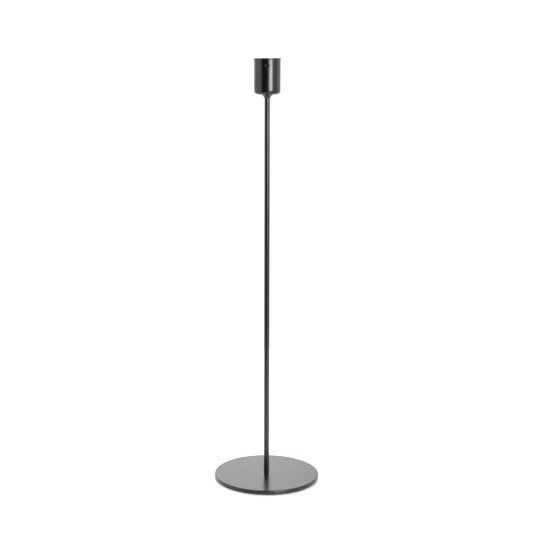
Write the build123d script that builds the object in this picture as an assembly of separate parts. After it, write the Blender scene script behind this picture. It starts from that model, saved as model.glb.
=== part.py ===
"""Taper candle holder: a round steel base, a thin rod and a thin-walled cup with a grip screw.

Millimetres, +Z up. The origin is the centre of the felt pad's underside, on the surface that the
holder stands on. The grip screw is on the -Y side of the cup.
"""

from build123d import *
import math
import os

# Driving dimensions of the holder
TOTAL_HEIGHT = 400.0
BASE_DIAMETER = 100.0
PLATE_THICKNESS = 3.7
PLATE_EDGE_RADIUS = 0.8
PAD_DIAMETER = 92.0
PAD_THICKNESS = 0.8
STEM_DIAMETER = 5.0
SEAT_DEPTH = 1.2
SEAT_GAP = 0.05

CUP_DIAMETER = 24.2
CUP_HEIGHT = 32.7
CUP_WALL = 0.9
CUP_CORNER_RADIUS = 3.6
RIM_BEAD_HEIGHT = 1.6
RIM_BEAD_PROUD = 0.3
RIM_BEAD_RADIUS = 0.25
MOUTH_CHAMFER = 0.3

COLLAR_DIAMETER = 10.6
COLLAR_HEIGHT = 3.4
COLLAR_LIP = 0.3
COLLAR_FOOT_WALL = 0.12
COLLAR_COVE_RADIUS = 6.5

# M3 screws: a flat head under the base, a button head with a washer in the cup
M3_DIAMETER = 3.0
M3_CLEARANCE_DIAMETER = 3.2
M3_TAP_DEPTH = 9.0
M3_KEY = 2.0
M3_KEY_DEPTH = 1.05
FOOT_SCREW_LENGTH = 10.0
FLAT_HEAD_DIAMETER = 5.8
COUNTERSINK_DIAMETER = 6.2
CUP_SCREW_LENGTH = 8.0
BUTTON_HEAD_DIAMETER = 5.7
BUTTON_HEAD_HEIGHT = 1.65
BUTTON_HEAD_EDGE = 0.3
BUTTON_HEAD_CROWN = 3.0
BUTTON_DOME_RADIUS = 2.6
WASHER_DIAMETER = 7.0
WASHER_THICKNESS = 0.5

# M4 grub screw that grips the candle
GRIP_DIAMETER = 3.9
GRIP_HOLE_DIAMETER = 4.0
GRIP_HOLE_CHAMFER = 0.35
GRIP_LENGTH = 3.0
GRIP_CHAMFER = 0.4
GRIP_KEY = 2.0
GRIP_KEY_DEPTH = 1.5
GRIP_CLEAR_OF_CANDLE = 0.05
GRIP_SCREW_DROP = 6.8

THREAD_GAP = 0.02
TIP_CHAMFER = 0.3
DRILL_POINT_SLOPE = math.tan(math.radians(30))

# Places that follow from the driving dimensions
plate_bottom = PAD_THICKNESS
plate_top = plate_bottom + PLATE_THICKNESS
stem_bottom = plate_top - SEAT_DEPTH
cup_bottom = TOTAL_HEIGHT - CUP_HEIGHT
stem_top = cup_bottom
cup_floor = cup_bottom + CUP_WALL
washer_top = cup_floor + WASHER_THICKNESS
grip_height = TOTAL_HEIGHT - GRIP_SCREW_DROP

stem_radius = STEM_DIAMETER / 2
cup_radius = CUP_DIAMETER / 2
bore_radius = cup_radius - CUP_WALL
m3_crest_radius = M3_DIAMETER / 2 - THREAD_GAP


def cylinder(radius, bottom, top):
    return Pos(0, 0, (bottom + top) / 2) * Cylinder(radius, top - bottom)


def cone(bottom_radius, top_radius, bottom, top):
    return Pos(0, 0, (bottom + top) / 2) * Cone(bottom_radius, top_radius, top - bottom)


def turned(outline):
    """A solid of revolution about Z. The outline's X is the radius and its Y is the height."""
    return revolve(Plane.XZ * outline, Axis.Z)


def disc_outline(radius, bottom, top):
    """The outline of a solid disc, from the axis to a radius."""
    return Pos(radius / 2, (bottom + top) / 2) * Rectangle(radius, top - bottom)


def corner_near(outline, radius, height):
    return outline.vertices().sort_by_distance((radius, height, 0))[0]


def tip_chamfered(shank, end):
    """A shank along Z with its lower (end 0) or upper (end -1) edge chamfered."""
    tip = shank.edges().filter_by(GeomType.CIRCLE).sort_by(Axis.Z)[end]
    return chamfer(tip, TIP_CHAMFER)


def key_socket(across_flats, depth):
    """The cutter for a hexagon socket in a face at Z = 0, with the drill's point below it."""
    hexagon = RegularPolygon(across_flats / 2, 6, major_radius=False)
    drilled = across_flats / 2 * DRILL_POINT_SLOPE
    recess = extrude(Pos(0, 0, -depth) * hexagon, 2 * depth)
    return recess + cone(0, across_flats / 2, -depth - drilled, -depth)


def make_base_pad():
    return cylinder(PAD_DIAMETER / 2, 0, PAD_THICKNESS)


def make_base_plate():
    """A round plate with eased edges, a countersunk hole below and a seat for the rod above."""
    outline = disc_outline(BASE_DIAMETER / 2, plate_bottom, plate_top)
    edges = [corner_near(outline, BASE_DIAMETER / 2, z) for z in (plate_bottom, plate_top)]
    plate = turned(fillet(edges, PLATE_EDGE_RADIUS))
    sink_radius = COUNTERSINK_DIAMETER / 2
    hole_radius = M3_CLEARANCE_DIAMETER / 2
    sink_top = plate_bottom + sink_radius - hole_radius
    plate -= cone(sink_radius, hole_radius, plate_bottom, sink_top)
    plate -= cylinder(hole_radius, plate_bottom, plate_top)
    return plate - cylinder(stem_radius + SEAT_GAP, stem_bottom, plate_top)


def make_foot_screw():
    """A flat-head screw, head down, that draws the rod into the plate's seat."""
    head_radius = FLAT_HEAD_DIAMETER / 2
    face = plate_bottom + (COUNTERSINK_DIAMETER - FLAT_HEAD_DIAMETER) / 2
    neck = face + head_radius - m3_crest_radius
    shank = tip_chamfered(cylinder(m3_crest_radius, face, face + FOOT_SCREW_LENGTH), -1)
    screw = shank + cone(head_radius, m3_crest_radius, face, neck)
    return screw - Pos(0, 0, face) * Rot(180, 0, 0) * key_socket(M3_KEY, M3_KEY_DEPTH)


def make_stem():
    """The rod, with eased ends and a tapped blind hole in each."""
    rod = cylinder(stem_radius, stem_bottom, stem_top)
    rod = chamfer(rod.edges().filter_by(GeomType.CIRCLE), TIP_CHAMFER)
    tap_radius = M3_DIAMETER / 2
    drilled = M3_TAP_DEPTH + tap_radius * DRILL_POINT_SLOPE
    tapping = cylinder(tap_radius, 0, M3_TAP_DEPTH) + cone(tap_radius, 0, M3_TAP_DEPTH, drilled)
    rod -= Pos(0, 0, stem_bottom) * tapping
    return rod - Pos(0, 0, stem_top) * Rot(180, 0, 0) * tapping


def make_stem_collar():
    """A flared ring on the rod's top end. Its flat top carries the cup's floor."""
    bore = stem_radius + THREAD_GAP
    foot = (stem_radius + COLLAR_FOOT_WALL, stem_top - COLLAR_HEIGHT)
    lip = (COLLAR_DIAMETER / 2, stem_top - COLLAR_LIP)
    outline = [
        Line((bore, foot[1]), (bore, stem_top)),
        Line((bore, stem_top), (lip[0], stem_top)),
        Line((lip[0], stem_top), lip),
        RadiusArc(lip, foot, -COLLAR_COVE_RADIUS),
        Line(foot, (bore, foot[1])),
    ]
    return turned(make_face(outline))


def make_candle_cup():
    """A thin-walled cup with a beaded rim, a hole in its floor and a tapped hole in its side."""
    body = disc_outline(cup_radius, cup_bottom, TOTAL_HEIGHT)
    body = fillet(corner_near(body, cup_radius, cup_bottom), CUP_CORNER_RADIUS)
    bead_radius = cup_radius + RIM_BEAD_PROUD
    bead_bottom = TOTAL_HEIGHT - RIM_BEAD_HEIGHT
    bead = disc_outline(bead_radius, bead_bottom, TOTAL_HEIGHT)
    bead_corners = [corner_near(bead, bead_radius, z) for z in (bead_bottom, TOTAL_HEIGHT)]
    bead = fillet(bead_corners, RIM_BEAD_RADIUS)
    hollow = disc_outline(bore_radius, cup_floor, TOTAL_HEIGHT)
    hollow = fillet(corner_near(hollow, bore_radius, cup_floor), CUP_CORNER_RADIUS - CUP_WALL)
    cup = turned(body + bead - hollow)
    mouth = TOTAL_HEIGHT - MOUTH_CHAMFER
    cup -= cone(bore_radius, bore_radius + MOUTH_CHAMFER, mouth, TOTAL_HEIGHT)
    cup -= cylinder(M3_CLEARANCE_DIAMETER / 2, cup_bottom, cup_floor)
    hole_radius = GRIP_HOLE_DIAMETER / 2
    sink = GRIP_HOLE_CHAMFER
    side_hole = cylinder(hole_radius, -2 * CUP_WALL, 2 * CUP_WALL)
    side_hole += cone(hole_radius, hole_radius + 2 * sink, -sink, sink)
    return cup - Pos(0, -cup_radius, grip_height) * Rot(90, 0, 0) * side_hole


def make_cup_washer():
    washer = cylinder(WASHER_DIAMETER / 2, cup_floor, washer_top)
    return washer - cylinder(M3_CLEARANCE_DIAMETER / 2, cup_floor, washer_top)


def make_cup_screw():
    """A button-head screw that holds the cup's floor down on the collar."""
    head_top = washer_top + BUTTON_HEAD_HEIGHT
    edge = (BUTTON_HEAD_DIAMETER / 2, washer_top + BUTTON_HEAD_EDGE)
    crown = (BUTTON_HEAD_CROWN / 2, head_top)
    outline = [
        Line((0, washer_top), (edge[0], washer_top)),
        Line((edge[0], washer_top), edge),
        RadiusArc(edge, crown, -BUTTON_DOME_RADIUS),
        Line(crown, (0, head_top)),
        Line((0, head_top), (0, washer_top)),
    ]
    shank = cylinder(m3_crest_radius, washer_top - CUP_SCREW_LENGTH, washer_top)
    screw = turned(make_face(outline)) + tip_chamfered(shank, 0)
    return screw - Pos(0, 0, head_top) * key_socket(M3_KEY, M3_KEY_DEPTH)


def make_grip_screw():
    """A grub screw along Y: its tip is just clear of the candle and its socket faces outwards."""
    screw = cylinder(GRIP_DIAMETER / 2, -GRIP_LENGTH, 0)
    screw = chamfer(screw.edges().filter_by(GeomType.CIRCLE), GRIP_CHAMFER)
    screw -= key_socket(GRIP_KEY, GRIP_KEY_DEPTH)
    face = bore_radius + GRIP_CLEAR_OF_CANDLE + GRIP_LENGTH
    return Pos(0, -face, grip_height) * Rot(90, 0, 0) * screw


NODES = {
    "base_pad": make_base_pad,
    "base_plate": make_base_plate,
    "foot_screw": make_foot_screw,
    "stem": make_stem,
    "stem_collar": make_stem_collar,
    "candle_cup": make_candle_cup,
    "cup_washer": make_cup_washer,
    "cup_screw": make_cup_screw,
    "grip_screw": make_grip_screw,
}

os.makedirs("parts", exist_ok=True)
for name, make in NODES.items():
    export_step(make(), f"parts/{name}.step")
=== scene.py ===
"""How a taper candle holder looks: a black-lacquered plate, rod and cup, its screws and its pad.

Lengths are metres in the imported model's own frame. MM turns millimetres into metres. The camera
stands on the -Y side, as the cup's grip screw does.
"""

import math
from functools import reduce

import bmesh
import bpy
from mathutils import Matrix, Vector


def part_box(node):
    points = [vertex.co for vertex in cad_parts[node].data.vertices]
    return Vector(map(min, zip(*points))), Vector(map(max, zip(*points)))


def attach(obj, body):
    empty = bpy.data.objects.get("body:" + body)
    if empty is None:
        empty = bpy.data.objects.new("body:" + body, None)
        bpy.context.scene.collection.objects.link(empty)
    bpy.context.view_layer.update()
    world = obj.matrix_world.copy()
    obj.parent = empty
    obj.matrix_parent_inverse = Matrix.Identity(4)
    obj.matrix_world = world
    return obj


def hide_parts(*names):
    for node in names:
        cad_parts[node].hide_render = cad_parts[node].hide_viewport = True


MM = 0.001
TAU = 2 * math.pi

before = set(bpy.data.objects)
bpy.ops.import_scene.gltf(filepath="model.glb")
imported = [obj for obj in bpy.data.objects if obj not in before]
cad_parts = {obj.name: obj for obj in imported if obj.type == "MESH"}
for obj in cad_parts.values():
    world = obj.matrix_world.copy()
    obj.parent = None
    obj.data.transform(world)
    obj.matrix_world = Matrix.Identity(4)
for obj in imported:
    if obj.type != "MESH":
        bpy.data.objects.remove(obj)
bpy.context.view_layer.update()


# ---------------------------------------------------------------------------------------------
# Outlines: lists of (radius, height) points for turned pieces
# ---------------------------------------------------------------------------------------------

def arc(centre, radius, start, end, steps):
    """Points on an arc in the outline's plane, from one angle to another, in degrees."""
    angles = [math.radians(start + (end - start) * i / steps) for i in range(steps + 1)]
    return [(centre[0] + radius * math.cos(a), centre[1] + radius * math.sin(a)) for a in angles]


def span(start, end, steps, with_start=False):
    """Evenly spaced points from one outline point to another, without the first unless asked."""
    first = 0 if with_start else 1
    mixes = [i / steps for i in range(first, steps + 1)]
    return [tuple(s + (e - s) * m for s, e in zip(start, end)) for m in mixes]


def ring(radius, height, count):
    """A horizontal ring of points. Its first point is on -Y."""
    turns = [TAU * i / count - TAU / 4 for i in range(count)]
    return [Vector((radius * math.cos(t), radius * math.sin(t), height)) for t in turns]


def hexagon(across_flats, height, count):
    """A ring of points on a hexagon, with a point at each corner."""
    flat = across_flats / 2
    points = []
    for i in range(count):
        turn = TAU * i / count - TAU / 4
        from_flat = (turn + TAU / 12) % (TAU / 6) - TAU / 12
        radius = flat / math.cos(from_flat)
        points.append(Vector((radius * math.cos(turn), radius * math.sin(turn), height)))
    return points


# ---------------------------------------------------------------------------------------------
# Meshes
# ---------------------------------------------------------------------------------------------

SHARP_ANGLE = math.radians(38)
WEAR_CURVATURE = (0.7 / MM, 2.2 / MM)
SHORTEST_STEP = 0.02 * MM


def link_mesh(name, bm):
    """Turns a bmesh into an object of the scene."""
    mesh = bpy.data.meshes.new(name)
    bm.to_mesh(mesh)
    bm.free()
    obj = bpy.data.objects.new(name, mesh)
    bpy.context.scene.collection.objects.link(obj)
    return obj


def finish_mesh(name, bm):
    """Makes an object of a bmesh: outward normals, sharp edges, and how exposed each point is."""
    bmesh.ops.recalc_face_normals(bm, faces=bm.faces)
    centres = {f: f.calc_center_median() for f in bm.faces}
    exposed = bm.verts.layers.float.new("exposed")
    for edge in bm.edges:
        angle = edge.calc_face_angle_signed(0)
        edge.smooth = abs(angle) < SHARP_ANGLE
        one, other = (centres[f] for f in edge.link_faces)
        curvature = angle / max((one - other).length, SHORTEST_STEP)
        low, high = WEAR_CURVATURE
        share = min(1, max(0, (curvature - low) / (high - low)))
        for v in edge.verts:
            v[exposed] = max(v[exposed], share)
    for f in bm.faces:
        f.smooth = True
    return link_mesh(name, bm)


def join_rings(bm, lower, upper):
    """Quads between two rings of as many vertices, or triangles where one ring is a single point."""
    count = max(len(lower), len(upper))
    for i in range(count):
        j = (i + 1) % count
        a, b = lower[i % len(lower)], lower[j % len(lower)]
        c, d = upper[j % len(upper)], upper[i % len(upper)]
        corners = [v for k, v in enumerate((a, b, c, d)) if v not in (a, b, c, d)[:k]]
        bm.faces.new(corners)


def loft(bm, rings, closed=False):
    """Joins rings of points in order. With closed, the last also joins the first."""
    made = [[bm.verts.new(p) for p in points] for points in rings]
    for lower, upper in zip(made, made[1:] + (made[:1] if closed else [])):
        join_rings(bm, lower, upper)
    return made


def turned(name, outline, count, closed=True):
    """A turned piece from an outline. Without closed, it starts and ends on the axis."""
    bm = bmesh.new()
    rings = [ring(r, z, count) if r > 0 else [Vector((0, 0, z))] for r, z in outline]
    loft(bm, rings, closed)
    return finish_mesh(name, bm)


def place(obj, node, body):
    """Puts a piece in the assembly: it stands for a CAD node and rides on that node's body."""
    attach(obj, body)
    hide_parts(node)
    return obj


def radius_of(node):
    """Half of a node's width along X."""
    low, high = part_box(node)
    return (high.x - low.x) / 2


# ---------------------------------------------------------------------------------------------
# Screws
# ---------------------------------------------------------------------------------------------

SCREW_COLUMNS = 48
THREAD_ROWS = 14          # rows of points in one turn of a thread
THREAD_DEPTH = 0.58       # of the pitch
RIDGE_TOP = 1.35          # a ridge's height before its crest is cut flat
RIDGE_SLOPE = 3.105       # how steeply its flanks fall away from the crest
TIP_EASE = 0.3 * MM
TIP_SLOPE = 0.35

M3_PITCH = 0.5 * MM
M3_CLEARANCE_RADIUS = 1.6 * MM
M3_CREST_RADIUS = 1.48 * MM
M3_SOCKET_DEPTH = 1.05 * MM
M4_PITCH = 0.7 * MM
M4_SOCKET_DEPTH = 1.5 * MM
M4_CHAMFER = 0.4 * MM
BUTTON_HEAD_HEIGHT = 1.65 * MM
BUTTON_HEAD_EDGE = 0.3 * MM
BUTTON_CROWN_RADIUS = 1.5 * MM

KEY_SIZE = 2.0 * MM
SOCKET_RIM = 0.08 * MM
SOCKET_FLOOR_EASE = 0.05 * MM
SOCKET_FLOOR_SHARE = 0.93
DRILL_SHARE = 0.8
DRILL_SLOPE = math.tan(math.radians(30))


def thread_root(crest, pitch):
    """The radius of a thread's hollows."""
    return crest - THREAD_DEPTH * pitch


def thread_rings(crest, pitch, start, end):
    """Rings of a threaded shank from a start to an end height, with its ends eased to the root."""
    root = thread_root(crest, pitch)
    steps = max(2, round(abs(end - start) / pitch * THREAD_ROWS))
    rings = []
    for step in range(steps + 1):
        height = start + (end - start) * step / steps
        to_tip = min(abs(height - start), abs(end - height))
        limit = min(crest, root + to_tip * crest / TIP_EASE * TIP_SLOPE)
        points = []
        for p in ring(1, height, SCREW_COLUMNS):
            phase = (height / pitch - math.atan2(p.y, p.x) / TAU) % 1
            ridge = min(1, max(0, RIDGE_TOP - RIDGE_SLOPE * abs(phase - 0.5)))
            ridge = ridge * ridge * (3 - 2 * ridge)
            radius = min(limit, root + (crest - root) * ridge)
            points.append(Vector((p.x * radius, p.y * radius, height)))
        rings.append(points)
    return rings


def socket_rings(face, depth):
    """Rings of a hexagon socket that goes down from a face: eased mouth, wall and drilled point."""
    floor = face - depth
    hexagons = [(KEY_SIZE + 2 * SOCKET_RIM, face), (KEY_SIZE, face - SOCKET_RIM),
                (KEY_SIZE, floor + SOCKET_FLOOR_EASE), (KEY_SIZE * SOCKET_FLOOR_SHARE, floor)]
    drill = KEY_SIZE / 2 * DRILL_SHARE
    circles = [(drill, floor - 0.01 * MM), (drill / 2, floor - drill / 2 * DRILL_SLOPE)]
    rings = [hexagon(across_flats, z, SCREW_COLUMNS) for across_flats, z in hexagons]
    rings += [ring(r, z, SCREW_COLUMNS) for r, z in circles]
    rings.append([Vector((0, 0, floor - drill * DRILL_SLOPE))])
    return rings


def screw(name, head, face, socket_depth, shank, pitch, transform):
    """A socket screw along +Z from its tip up to its driven face, then moved into place.

    head is the outline from the shank up to the driven face, and shank is (crest radius, tip
    height, height under the head).
    """
    crest, tip, under_head = shank
    root = thread_root(crest, pitch)
    rings = [[Vector((0, 0, tip))]]
    rings += [ring(root * share, tip, SCREW_COLUMNS) for share in (0.55, 0.85)]
    rings += thread_rings(crest, pitch, tip, under_head)
    rings += [ring(r, z, SCREW_COLUMNS) for r, z in head]
    rings += socket_rings(face, socket_depth)
    bm = bmesh.new()
    loft(bm, rings)
    bm.transform(transform)
    return finish_mesh(name, bm)


def make_foot_screw():
    """Flat-head M3 screw, head down in the plate's countersink."""
    low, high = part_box("foot_screw")
    length = high.z - low.z
    head_radius = radius_of("foot_screw")
    head_height = head_radius - M3_CREST_RADIUS
    neck = 0.2 * MM
    edge = 0.1 * MM
    head = span((M3_CREST_RADIUS * 0.86, length - head_height - neck),
                (M3_CREST_RADIUS, length - head_height), 2, with_start=True)
    head += span(head[-1], (head_radius - edge, length - 1.2 * edge), 4)
    head += [(head_radius - 0.3 * edge, length - 0.6 * edge), (head_radius - edge, length)]
    head += span(head[-1], (KEY_SIZE * 0.72, length), 3)
    shank = (M3_CREST_RADIUS, 0, length - head_height - 1.5 * neck)
    turn = Matrix.Translation((0, 0, high.z)) @ Matrix.Rotation(math.pi, 4, "X")
    made = screw("foot_screw_detailed", head, length, M3_SOCKET_DEPTH, shank, M3_PITCH, turn)
    return place(made, "foot_screw", "holder")


def make_cup_screw():
    """Button-head M3 screw, head up on the washer in the cup."""
    low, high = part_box("cup_screw")
    radius = radius_of("cup_screw")
    crown = BUTTON_CROWN_RADIUS
    seat = high.z - BUTTON_HEAD_HEIGHT
    edge = seat + BUTTON_HEAD_EDGE
    corner = 0.06 * MM
    head = [(M3_CREST_RADIUS * 0.95, seat), (radius - 4 * corner, seat), (radius - corner, seat)]
    head += [(radius, seat + corner), (radius, edge)]
    dome_steps = 9
    for step in range(1, dome_steps):
        turn = math.radians(90 * step / dome_steps)
        inwards = (radius - crown) * (1 - math.cos(turn))
        head.append((radius - inwards, edge + (high.z - edge) * math.sin(turn)))
    head += [(crown * 0.99, high.z), (crown * 0.94, high.z), (KEY_SIZE * 0.66, high.z)]
    shank = (M3_CREST_RADIUS, low.z, seat - 0.1 * MM)
    still = Matrix.Identity(4)
    made = screw("cup_screw_detailed", head, high.z, M3_SOCKET_DEPTH, shank, M3_PITCH, still)
    return place(made, "cup_screw", "holder")


def make_grip_screw():
    """M4 grub screw through the cup's side, its socket facing outwards."""
    low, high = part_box("grip_screw")
    crest = (high.x - low.x) / 2
    length = high.y - low.y
    face_radius = crest - M4_CHAMFER
    head = [(face_radius, length), (face_radius * 0.93, length), (KEY_SIZE * 0.66, length)]
    shank = (crest, 0, length - 0.02 * MM)
    centre = (low + high) / 2
    outwards = Matrix.Translation((centre.x, high.y, centre.z)) @ Matrix.Rotation(TAU / 4, 4, "X")
    made = screw("grip_screw_detailed", head, length, M4_SOCKET_DEPTH, shank, M4_PITCH, outwards)
    return place(made, "grip_screw", "grip_screw")


# ---------------------------------------------------------------------------------------------
# Turned pieces
# ---------------------------------------------------------------------------------------------

PLATE_EDGE = 0.8 * MM
SEAT_GAP = 0.05 * MM
COUNTERSINK_RADIUS = 3.1 * MM
STEM_EASE = 0.3 * MM
TAP_RADIUS = 1.5 * MM
TAP_DEPTH = 9.0 * MM
COLLAR_GAP = 0.02 * MM
COLLAR_FOOT_WALL = 0.1 * MM
COLLAR_LIP = 0.3 * MM
COLLAR_COVE = 6.5 * MM


def make_base_plate():
    """Round plate with eased edges, a seat for the rod on top and a countersunk hole below."""
    low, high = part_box("base_plate")
    radius = radius_of("base_plate")
    stem_low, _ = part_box("stem")
    seat_radius = radius_of("stem") + SEAT_GAP
    rounding = PLATE_EDGE
    beside = 0.3 * MM
    ease = 0.12 * MM
    sink = COUNTERSINK_RADIUS - M3_CLEARANCE_RADIUS
    outline = [(seat_radius, stem_low.z), (seat_radius, high.z - ease), (seat_radius + ease, high.z)]
    outline += [(seat_radius + 3 * ease, high.z)]
    outline += span(outline[-1], (radius - rounding - beside, high.z), 12)
    outline += arc((radius - rounding, high.z - rounding), rounding, 90, 0, 9)
    outline += arc((radius - rounding, low.z + rounding), rounding, 0, -90, 9)
    outline += [(radius - rounding - beside, low.z)]
    outline += span(outline[-1], (COUNTERSINK_RADIUS + beside, low.z), 8)
    outline += [(COUNTERSINK_RADIUS, low.z), (M3_CLEARANCE_RADIUS, low.z + sink)]
    outline += [(M3_CLEARANCE_RADIUS, stem_low.z)]
    made = turned("base_plate_lacquered", outline, 256)
    return place(made, "base_plate", "holder")


def make_stem():
    """Straight rod with eased ends and a drilled and tapped hole in each."""
    low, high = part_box("stem")
    radius = radius_of("stem")
    tap, depth, ease = TAP_RADIUS, TAP_DEPTH, STEM_EASE
    tap_mouth = 0.2 * MM
    hole = [(0, depth + tap * DRILL_SLOPE), (tap / 2, depth + tap / 2 * DRILL_SLOPE), (tap, depth)]
    hole += span(hole[-1], (tap, tap_mouth), 6) + [(tap + 0.75 * tap_mouth, 0)]
    end = [(radius - ease - tap_mouth, 0), (radius - ease, 0), (radius, ease), (radius, 2 * ease)]
    lower = [(r, low.z + h) for r, h in hole + end]
    upper = [(r, high.z - h) for r, h in hole + end]
    outline = lower + span(lower[-1], upper[-1], 60)[:-1] + upper[::-1]
    made = turned("stem_lacquered", outline, 72, closed=False)
    return place(made, "stem", "holder")


def make_stem_collar():
    """Flared ring under the cup, with a hollow flank that runs out on the rod."""
    low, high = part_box("stem_collar")
    radius = radius_of("stem_collar")
    bore = radius_of("stem") + COLLAR_GAP
    foot = Vector((bore + COLLAR_FOOT_WALL, low.z))
    lip = Vector((radius, high.z - COLLAR_LIP))
    chord = lip - foot
    reach = math.sqrt(COLLAR_COVE ** 2 - (chord.length / 2) ** 2)
    centre = (foot + lip) / 2 + Vector((chord.y, -chord.x)).normalized() * reach
    start, end = (math.degrees(math.atan2(p.y - centre.y, p.x - centre.x)) for p in (foot, lip))
    ease = 0.06 * MM
    outline = [(bore, high.z - ease), (bore, (low.z + high.z) / 2), (bore, low.z)]
    outline += arc(centre, COLLAR_COVE, start, end, 16)
    outline += [(radius, high.z - 2 * ease), (radius - ease, high.z), (radius - 4 * ease, high.z)]
    outline += span(outline[-1], (bore + ease, high.z), 4)
    made = turned("stem_collar_lacquered", outline, 96)
    return place(made, "stem_collar", "holder")


def make_cup_washer():
    """Stamped flat washer: one rounded face edge and one crisp one."""
    low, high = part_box("cup_washer")
    radius = radius_of("cup_washer")
    rolled = 0.2 * MM
    ease = 0.05 * MM
    inner = M3_CLEARANCE_RADIUS
    outline = [(inner, low.z + ease), (inner, high.z - rolled * 0.5), (inner + rolled * 0.5, high.z)]
    outline += [(inner + rolled, high.z), (radius - rolled * 1.5, high.z)]
    outline += arc((radius - rolled, high.z - rolled), rolled, 90, 0, 5)
    outline += [(radius, low.z + ease), (radius - ease, low.z), (radius - 3 * ease, low.z)]
    outline += [(inner + 3 * ease, low.z), (inner + ease, low.z)]
    made = turned("cup_washer_plated", outline, 72)
    return place(made, "cup_washer", "holder")


# ---------------------------------------------------------------------------------------------
# The cup and the pad
# ---------------------------------------------------------------------------------------------

CUP_WALL = 0.9 * MM
CUP_CORNER = 3.6 * MM
BEAD_HEIGHT = 1.6 * MM
BEAD_PROUD = 0.3 * MM
BEAD_ROUNDING = 0.25 * MM
MOUTH_CHAMFER = 0.3 * MM
GRIP_HOLE_RADIUS = 2.0 * MM
GRIP_HOLE_CHAMFER = 0.35 * MM
CUP_COLUMNS = 192
HOLE_HALF_COLUMNS = 9
PATCH_MIXES = (0.3, 0.55, 0.75, 0.9, 1)

PAD_RADIUS = 46.0 * MM
PAD_SOFT_EDGE = 0.3 * MM
PAD_TOP_ROUNDING = 0.15 * MM
PAD_UNEVENNESS = 0.18 * MM


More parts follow.
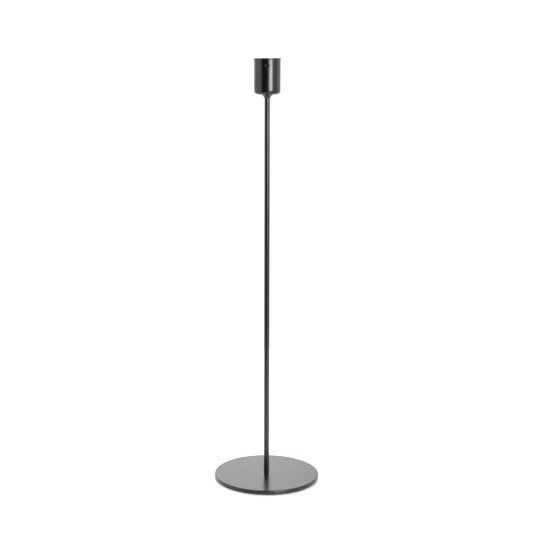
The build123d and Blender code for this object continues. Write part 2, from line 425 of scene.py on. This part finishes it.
def make_candle_cup():
    """Thin-walled cup: beaded rim, rounded foot, holed floor and a countersunk hole in its side.

    Each wall is a grid of columns and rows. Around the side hole a square patch of that grid is
    left out, and rings that go from the square to the hole's circle take its place.
    """
    low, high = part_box("candle_cup")
    outer = radius_of("candle_cup") - BEAD_PROUD
    inner = outer - CUP_WALL
    grip_low, grip_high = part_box("grip_screw")
    hole_height = (grip_low.z + grip_high.z) / 2
    column = TAU / CUP_COLUMNS
    half = HOLE_HALF_COLUMNS * column * outer
    patch_rows = span((0, hole_height - half), (0, hole_height + half), 2 * HOLE_HALF_COLUMNS,
                      with_start=True)

    bead_low = high.z - BEAD_HEIGHT
    bead = outer + BEAD_PROUD
    outline = [(M3_CLEARANCE_RADIUS, low.z), (M3_CLEARANCE_RADIUS + 0.3 * MM, low.z)]
    outline += span(outline[-1], (outer - CUP_CORNER - 0.4 * MM, low.z), 6)
    outline += arc((outer - CUP_CORNER, low.z + CUP_CORNER), CUP_CORNER, -90, 0, 14)
    outline += span(outline[-1], (outer, hole_height - half), 24)[:-1]
    outer_start = len(outline)
    outline += [(outer, z) for _, z in patch_rows]
    outline += span((outer, hole_height + half), (outer, bead_low - 0.2 * MM), 2)
    outline += [(outer, bead_low)]
    outline += arc((bead - BEAD_ROUNDING, bead_low + BEAD_ROUNDING), BEAD_ROUNDING, -70, 0, 4)
    outline += [(bead, (bead_low + high.z) / 2)]
    outline += arc((bead - BEAD_ROUNDING, high.z - BEAD_ROUNDING), BEAD_ROUNDING, 0, 90, 5)
    lip = inner + MOUTH_CHAMFER
    outline += span(outline[-1], (lip, high.z), 3)
    corner = MOUTH_CHAMFER / 10
    outline += [(inner + corner, high.z - MOUTH_CHAMFER + corner)]
    outline += [(inner, high.z - 1.3 * MOUTH_CHAMFER)]
    outline += span(outline[-1], (inner, hole_height + half), 8)[:-1]
    inner_start = len(outline)
    outline += [(inner, z) for _, z in reversed(patch_rows)]
    foot = CUP_CORNER - CUP_WALL
    outline += span((inner, hole_height - half), (inner, low.z + CUP_WALL + foot), 24)[:-1]
    outline += arc((inner - foot, low.z + CUP_WALL + foot), foot, 0, -90, 10)
    outline += span(outline[-1], (M3_CLEARANCE_RADIUS + 0.1 * MM, low.z + CUP_WALL), 6)
    outline += [(M3_CLEARANCE_RADIUS, low.z + CUP_WALL - 0.1 * MM)]

    bm = bmesh.new()
    grid = [[bm.verts.new(p) for p in ring(r, z, CUP_COLUMNS)] for r, z in outline]
    rows = len(outline)
    size = 2 * HOLE_HALF_COLUMNS
    for i in range(rows):
        in_patch_rows = any(s <= i < s + size for s in (outer_start, inner_start))
        for j in range(CUP_COLUMNS):
            from_front = (j + HOLE_HALF_COLUMNS) % CUP_COLUMNS
            if in_patch_rows and from_front < size:
                continue
            k, m = (i + 1) % rows, (j + 1) % CUP_COLUMNS
            bm.faces.new((grid[i][j], grid[i][m], grid[k][m], grid[k][j]))

    def patch_edge(start, upwards):
        """The vertices round a wall's square opening, from the lower -X corner towards +X."""
        last = start + size
        across = [(j - HOLE_HALF_COLUMNS) % CUP_COLUMNS for j in range(size + 1)]
        lower, upper = (start, last) if upwards else (last, start)
        step = 1 if upwards else -1
        loop = [grid[lower][j] for j in across[:-1]]
        loop += [grid[lower + step * i][across[-1]] for i in range(size)]
        loop += [grid[upper][j] for j in reversed(across[1:])]
        loop += [grid[upper - step * i][across[0]] for i in range(size)]
        return loop

    def on_wall(radius, across, up):
        """A point on a cylinder about Z, by its distance along X and its height over the hole."""
        return Vector((across, -math.sqrt(radius ** 2 - across ** 2), hole_height + up))

    def hole_ring(wall, hole, edge):
        """A circle about the hole's axis, drawn on a wall, with a point for each of the edge's."""
        points = []
        for v in edge:
            turn = math.atan2(v.co.z - hole_height, v.co.x * outer / math.hypot(v.co.x, v.co.y))
            points.append(on_wall(wall, hole * math.cos(turn), hole * math.sin(turn)))
        return points

    def patch(wall, edge, hole):
        """Fills a wall between its square opening and the hole. It returns the hole's vertices."""
        circle = hole_ring(wall, hole, edge)
        loops = [edge]
        for mix in PATCH_MIXES:
            points = []
            for v, c in zip(edge, circle):
                across = v.co.x + (c.x - v.co.x) * mix
                up = v.co.z + (c.z - v.co.z) * mix - hole_height
                points.append(bm.verts.new(on_wall(wall, across, up)))
            loops.append(points)
        for one, other in zip(loops, loops[1:]):
            join_rings(bm, one, other)
        return loops[-1]

    outer_edge = patch_edge(outer_start, True)
    inner_edge = patch_edge(inner_start, False)
    sunk = GRIP_HOLE_CHAMFER
    mouth = patch(outer, outer_edge, GRIP_HOLE_RADIUS + sunk)
    throat = [bm.verts.new(p) for p in hole_ring(outer - sunk, GRIP_HOLE_RADIUS, outer_edge)]
    middle = [bm.verts.new(p) for p in hole_ring(inner + 0.25 * MM, GRIP_HOLE_RADIUS, outer_edge)]
    join_rings(bm, mouth, throat)
    join_rings(bm, throat, middle)
    join_rings(bm, middle, patch(inner, inner_edge, GRIP_HOLE_RADIUS))
    made = finish_mesh("candle_cup_lacquered", bm)
    return place(made, "candle_cup", "holder")


def make_base_pad():
    """Felt disc with a soft, slightly uneven edge. It is flat where it stands on the table."""
    low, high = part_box("base_pad")
    radius, soft, rounding = PAD_RADIUS, PAD_SOFT_EDGE, PAD_TOP_ROUNDING
    outline = span((0, low.z), (radius - soft, low.z), 30, with_start=True)
    outline += arc((radius - soft, low.z + soft), soft, -67.5, 0, 3)
    outline += arc((radius - rounding, high.z - rounding), rounding, 0, 90, 3)
    outline += span((radius - soft, high.z), (0, high.z), 30, with_start=True)
    pad = turned("base_pad_felt", outline, 160, closed=False)
    for v in pad.data.vertices:
        if math.hypot(v.co.x, v.co.y) > radius - soft:
            turn = math.atan2(v.co.y, v.co.x)
            wave = 0.5 + 0.25 * math.sin(23 * turn) + 0.25 * math.sin(57 * turn + 1.3)
            shrink = 1 - PAD_UNEVENNESS * wave / radius
            v.co.x *= shrink
            v.co.y *= shrink
    place(pad, "base_pad", "holder")
    return pad


# ---------------------------------------------------------------------------------------------
# Materials
# ---------------------------------------------------------------------------------------------

MIX_COLOUR_INPUTS = (6, 7)    # the Mix node has same-named sockets for numbers and colours
MIX_COLOUR_OUTPUT = 2
HAIRLINE_LENGTH = 20      # in hairline widths
HAIRLINE_PATCH = 30       # in hairline widths
FIBRE_LENGTH = 6          # in fibre widths


class Nodes:
    """A material's node tree, with short calls for the nodes that the finishes share."""

    def __init__(self, name):
        self.material = bpy.data.materials.new(name)
        self.material.use_nodes = True
        self.tree = self.material.node_tree
        self.shader = self.tree.nodes["Principled BSDF"]
        self.coords = self.tree.nodes.new("ShaderNodeTexCoord").outputs["Object"]

    def add(self, kind, inputs=None, **settings):
        """A new node, with its settings and its named inputs."""
        node = self.tree.nodes.new("ShaderNode" + kind)
        for key, value in settings.items():
            setattr(node, key, value)
        for key, value in (inputs or {}).items():
            self.put(node.inputs[key], value)
        return node

    def put(self, socket, value):
        """Gives an input socket another node's output or a plain value."""
        if isinstance(value, bpy.types.NodeSocket):
            self.tree.links.new(value, socket)
        else:
            socket.default_value = value

    def drawn_out(self, length, turn):
        """The piece's coordinates, with detail drawn out along a turned X axis."""
        inputs = {"Vector": self.coords, "Rotation": turn, "Scale": (length, 1, 1)}
        return self.add("Mapping", inputs, vector_type="TEXTURE").outputs["Vector"]

    def noise(self, size, detail=2.0, rough=0.5, coords=None):
        """Soft noise with features of about a size in metres, from 0 to 1 about 0.5."""
        inputs = {"Vector": coords or self.coords, "Scale": 1 / size}
        inputs |= {"Detail": detail, "Roughness": rough}
        return self.add("TexNoise", inputs).outputs["Fac"]

    def between(self, value, low, high, to_low=0.0, to_high=1.0):
        """Maps a range of values to another, clamped at both ends, with soft shoulders."""
        inputs = {"Value": value, "From Min": low, "From Max": high}
        inputs |= {"To Min": to_low, "To Max": to_high}
        return self.add("MapRange", inputs, interpolation_type="SMOOTHSTEP").outputs["Result"]

    def maths(self, operation, one, other):
        """The result of an operation on two values."""
        node = self.add("Math", operation=operation)
        self.put(node.inputs[0], one)
        self.put(node.inputs[1], other)
        return node.outputs["Value"]

    def highest(self, values):
        """The largest of several values."""
        return reduce(lambda one, other: self.maths("MAXIMUM", one, other), values)

    def mix(self, share, one, other):
        """A colour between two others."""
        node = self.add("Mix", data_type="RGBA")
        self.put(node.inputs["Factor"], share)
        for index, colour in zip(MIX_COLOUR_INPUTS, (one, other)):
            self.put(node.inputs[index], colour)
        return node.outputs[MIX_COLOUR_OUTPUT]

    def bump(self, height, depth, normal=None):
        """A normal from a height from 0 to 1, where 1 stands a depth in metres proud."""
        inputs = {"Height": height, "Distance": depth, "Strength": 1.0}
        if normal is not None:
            inputs["Normal"] = normal
        return self.add("Bump", inputs).outputs["Normal"]

    def exposed(self):
        """How sharp an outside edge the surface is at, from 0 to 1."""
        return self.add("Attribute", attribute_name="exposed").outputs["Fac"]

    def scratches(self, size, turns):
        """Hairlines in a few directions and in sparse patches, from 0 to 1."""
        lines = []
        for turn in turns:
            along = self.drawn_out(HAIRLINE_LENGTH, turn)
            lines.append(self.between(self.noise(size, 1.0, 0.4, along), 0.70, 0.76))
        patches = self.between(self.noise(size * HAIRLINE_PATCH, 2.0), 0.5, 0.62)
        return self.maths("MULTIPLY", self.highest(lines), patches)

    def finish(self, colour, roughness, normal=None):
        """Joins the finish to the shader. It returns the material."""
        self.put(self.shader.inputs["Base Color"], colour)
        self.put(self.shader.inputs["Roughness"], roughness)
        if normal is not None:
            self.put(self.shader.inputs["Normal"], normal)
        return self.material


def black_lacquer(name, gloss_low, gloss_high):
    """Satin black lacquer on steel: slight orange peel, mottling, hairlines and rubbed edges."""
    n = Nodes(name)
    mottle = n.between(n.noise(22 * MM, 3.0), 0.3, 0.7)
    grain = n.between(n.noise(0.5 * MM, 3.0, 0.6), 0.35, 0.75)
    hairline = n.scratches(0.18 * MM, ((0, 0, 0.5), (0.3, 0.2, 1.9), (0.9, 0.4, 2.8)))
    ragged = n.between(n.noise(0.9 * MM, 4.0, 0.7), 0.42, 0.66)
    rubbed = n.maths("MULTIPLY", n.exposed(), ragged)
    body = n.mix(mottle, (0.0010, 0.0009, 0.0008, 1), (0.0022, 0.0020, 0.0018, 1))
    body = n.mix(n.maths("MULTIPLY", grain, 0.35), body, (0.0045, 0.0041, 0.0037, 1))
    body = n.mix(n.maths("MULTIPLY", hairline, 0.15), body, (0.02, 0.019, 0.018, 1))
    body = n.mix(n.maths("MULTIPLY", rubbed, 0.5), body, (0.04, 0.036, 0.032, 1))
    gloss = n.between(n.noise(9 * MM, 3.0, 0.6), 0.3, 0.7, gloss_low, gloss_high)
    gloss = n.maths("ADD", gloss, n.maths("MULTIPLY", rubbed, 0.06))
    peel = n.bump(n.noise(1.4 * MM, 1.0), 3.5e-6)
    fine = n.bump(n.noise(0.28 * MM, 2.0), 0.5e-6, peel)
    return n.finish(body, gloss, fine)


def black_screw():
    """Black-oxide steel: darker in the hollows, with bright steel coming through on the crests."""
    n = Nodes("black_oxide")
    n.shader.inputs["Metallic"].default_value = 0.7
    mottle = n.between(n.noise(0.6 * MM, 3.0, 0.6), 0.3, 0.7)
    ragged = n.between(n.noise(0.25 * MM, 3.0, 0.7), 0.45, 0.65)
    worn = n.maths("MULTIPLY", n.exposed(), ragged)
    body = n.mix(mottle, (0.007, 0.007, 0.0075, 1), (0.018, 0.0175, 0.017, 1))
    body = n.mix(n.maths("MULTIPLY", worn, 0.4), body, (0.12, 0.116, 0.11, 1))
    gloss = n.between(n.noise(0.5 * MM, 2.0), 0.3, 0.7, 0.28, 0.42)
    return n.finish(body, gloss, n.bump(n.noise(0.12 * MM, 2.0), 1.0e-6))


def screw_steel():
    """Zinc-plated steel: bright, with cloudy tone, fine turning lines and dulled hollows."""
    n = Nodes("zinc_plated_steel")
    n.shader.inputs["Metallic"].default_value = 1.0
    cloud = n.between(n.noise(1.5 * MM, 3.0, 0.6), 0.3, 0.7)
    speck = n.between(n.noise(0.18 * MM, 2.0), 0.55, 0.75)
    body = n.mix(cloud, (0.48, 0.49, 0.51, 1), (0.66, 0.66, 0.65, 1))
    body = n.mix(n.maths("MULTIPLY", speck, 0.4), body, (0.30, 0.31, 0.33, 1))
    gloss = n.between(n.noise(0.7 * MM, 3.0), 0.3, 0.7, 0.22, 0.40)
    gloss = n.maths("SUBTRACT", gloss, n.maths("MULTIPLY", n.exposed(), 0.06))
    return n.finish(body, gloss, n.bump(n.noise(0.1 * MM, 2.0), 1.2e-6))


def felt():
    """Black needle-felt: matted fibres in crossing directions, with lint and a faint sheen."""
    n = Nodes("black_felt")
    n.shader.inputs["Sheen Weight"].default_value = 0.15
    n.shader.inputs["Sheen Roughness"].default_value = 0.6
    mats = []
    for turn in (0.2, 1.25, 2.3):
        lying = n.drawn_out(FIBRE_LENGTH, (0, 0, turn))
        mats.append(n.noise(0.22 * MM, 3.0, 0.6, lying))
    fibres = n.highest(mats)
    clumps = n.between(n.noise(3.5 * MM, 3.0, 0.6), 0.3, 0.7)
    body = n.mix(n.between(fibres, 0.5, 0.75), (0.006, 0.006, 0.0065, 1), (0.048, 0.047, 0.048, 1))
    body = n.mix(n.maths("MULTIPLY", clumps, 0.3), body, (0.016, 0.016, 0.017, 1))
    lint = n.between(n.noise(0.6 * MM, 1.0), 0.74, 0.78)
    body = n.mix(n.maths("MULTIPLY", lint, 0.5), body, (0.22, 0.22, 0.21, 1))
    rough = n.between(fibres, 0.4, 0.8, 0.85, 1.0)
    return n.finish(body, rough, n.bump(fibres, 120e-6))


def pale_floor():
    """White acrylic table top: even, with a soft gloss."""
    n = Nodes("white_acrylic")
    tone = n.mix(n.noise(0.4, 3.0), (0.86, 0.845, 0.83, 1), (0.88, 0.865, 0.85, 1))
    return n.finish(tone, n.between(n.noise(0.15, 2.0), 0.3, 0.7, 0.22, 0.26))


def paint(obj, material):
    """Gives a piece its only material."""
    obj.data.materials.clear()
    obj.data.materials.append(material)


# ---------------------------------------------------------------------------------------------
# Studio
# ---------------------------------------------------------------------------------------------

# The camera's place comes from a fit of the holder's outline to the photograph. The orbit turns it
# about the holder's axis, so that the grip screw is seen where the photograph shows it.
CAMERA_DISTANCE = 1.07474
CAMERA_HEIGHT = 0.39994
CAMERA_PITCH = math.radians(10.1623)
CAMERA_YAW = math.radians(-2.3756)
CAMERA_ROLL = math.radians(0.2937)
CAMERA_ORBIT = math.radians(1.2)
SENSOR_MM = 36.0
LENS_MM = 78.405
SHIFT_X = 0.08819
LIGHT_AIM = Vector((0, 0, 0.385))
WORLD_RADIANCE = 1.08
FLOOR_RADIUS = 0.5
FLOOR_RINGS = 8


def add_camera():
    """The camera stands almost straight in front of the grip screw, level with the cup's rim."""
    data = bpy.data.cameras.new("camera")
    data.sensor_width = SENSOR_MM
    data.lens = LENS_MM
    data.shift_x = SHIFT_X
    data.clip_start, data.clip_end = 0.05, 50
    camera = bpy.data.objects.new("camera", data)
    bpy.context.scene.collection.objects.link(camera)
    forward = Vector((math.sin(CAMERA_YAW) * math.cos(CAMERA_PITCH),
                      math.cos(CAMERA_YAW) * math.cos(CAMERA_PITCH),
                      -math.sin(CAMERA_PITCH)))
    level = Vector((math.cos(CAMERA_YAW), -math.sin(CAMERA_YAW), 0))
    down = forward.cross(level)
    right = math.cos(CAMERA_ROLL) * level + math.sin(CAMERA_ROLL) * down
    up = math.sin(CAMERA_ROLL) * level - math.cos(CAMERA_ROLL) * down
    axes = Matrix((right, up, -forward)).transposed().to_4x4()
    stand = Matrix.Translation((0, -CAMERA_DISTANCE, CAMERA_HEIGHT)) @ axes
    camera.matrix_world = Matrix.Rotation(CAMERA_ORBIT, 4, "Z") @ stand
    bpy.context.scene.camera = camera


def towards(azimuth, elevation, distance):
    """A place seen from the holder: azimuth 0 is the camera's side and 90 is the right."""
    a, e = math.radians(azimuth), math.radians(elevation)
    flat = distance * math.cos(e)
    return Vector((flat * math.sin(a), -flat * math.cos(a), distance * math.sin(e)))


def add_softbox(name, azimuth, elevation, distance, width, height, radiance, colour=(1, 1, 1)):
    """A rectangular softbox that faces the cup, given by how bright it looks."""
    data = bpy.data.lights.new(name, "AREA")
    data.shape = "RECTANGLE"
    data.size, data.size_y = width, height
    data.energy = radiance * math.pi * width * height
    data.color = colour
    light = bpy.data.objects.new(name, data)
    bpy.context.scene.collection.objects.link(light)
    light.location = LIGHT_AIM + towards(azimuth, elevation, distance)
    light.rotation_mode = "QUATERNION"
    light.rotation_quaternion = (light.location - LIGHT_AIM).to_track_quat("Z", "Y")
    light.visible_camera = False
    return light


def add_flag(name, azimuth, width, height, distance):
    """A black card on the camera's side, seen only in the holder's reflections."""
    bm = bmesh.new()
    corners = ((-width / 2, 0), (width / 2, 0), (width / 2, height), (-width / 2, height))
    bm.faces.new([bm.verts.new((x, 0, z)) for x, z in corners])
    card = link_mesh(name, bm)
    card.location = towards(azimuth, 0, distance)
    card.rotation_euler = (0, 0, math.radians(azimuth))
    card.visible_camera = card.visible_diffuse = card.visible_shadow = False
    n = Nodes(name)
    tone = n.mix(n.noise(0.2), (0.004, 0.004, 0.004, 1), (0.006, 0.006, 0.006, 1))
    paint(card, n.finish(tone, 0.95))


def add_floor():
    """A round white table top, small enough to be evenly lit."""
    bm = bmesh.new()
    radii = [FLOOR_RADIUS * i / FLOOR_RINGS for i in range(1, FLOOR_RINGS + 1)]
    loft(bm, [[Vector((0, 0, 0))]] + [ring(radius, 0, 96) for radius in radii])
    floor = link_mesh("floor", bm)
    paint(floor, pale_floor())


def add_studio():
    """A bright white room. The softboxes and the dark card shape the reflections in the lacquer."""
    scene = bpy.context.scene
    scene.view_settings.view_transform = "Standard"
    world = bpy.data.worlds.new("studio")
    world.use_nodes = True
    background = world.node_tree.nodes["Background"]
    background.inputs["Color"].default_value = (1, 1, 1, 1)
    background.inputs["Strength"].default_value = WORLD_RADIANCE
    scene.world = world
    add_softbox("softbox_right", azimuth=32.2, elevation=-0.5, distance=1.7,
                width=0.76, height=0.5, radiance=17.9, colour=(0.975, 0.985, 1.0))
    add_softbox("softbox_back", azimuth=207, elevation=26, distance=2.2,
                width=2.6, height=1.9, radiance=1.43, colour=(1.0, 0.952, 0.976))
    add_softbox("panel_left", azimuth=-72.4, elevation=14, distance=1.9,
                width=1.8, height=1.6, radiance=0.77)
    add_softbox("panel_right", azimuth=115.6, elevation=14, distance=1.9,
                width=1.5, height=1.6, radiance=0.4)
    table_fill = add_softbox("table_fill", azimuth=0, elevation=70, distance=1.8,
                             width=0.8, height=0.8, radiance=6)
    table_fill.visible_glossy = False
    add_floor()
    add_flag("black_flag", azimuth=-20.4, width=0.42, height=1.3, distance=0.36)
    add_camera()


# ---------------------------------------------------------------------------------------------
# The holder
# ---------------------------------------------------------------------------------------------

plate_finish = black_lacquer("black_lacquer_plate", 0.235, 0.255)
turned_finish = black_lacquer("black_lacquer_turned", 0.23, 0.27)
steel_finish = screw_steel()

paint(make_base_plate(), plate_finish)
paint(make_base_pad(), felt())
paint(make_stem(), turned_finish)
paint(make_stem_collar(), turned_finish)
paint(make_candle_cup(), turned_finish)
paint(make_foot_screw(), steel_finish)
paint(make_cup_washer(), steel_finish)
paint(make_cup_screw(), steel_finish)
paint(make_grip_screw(), black_screw())
add_studio()
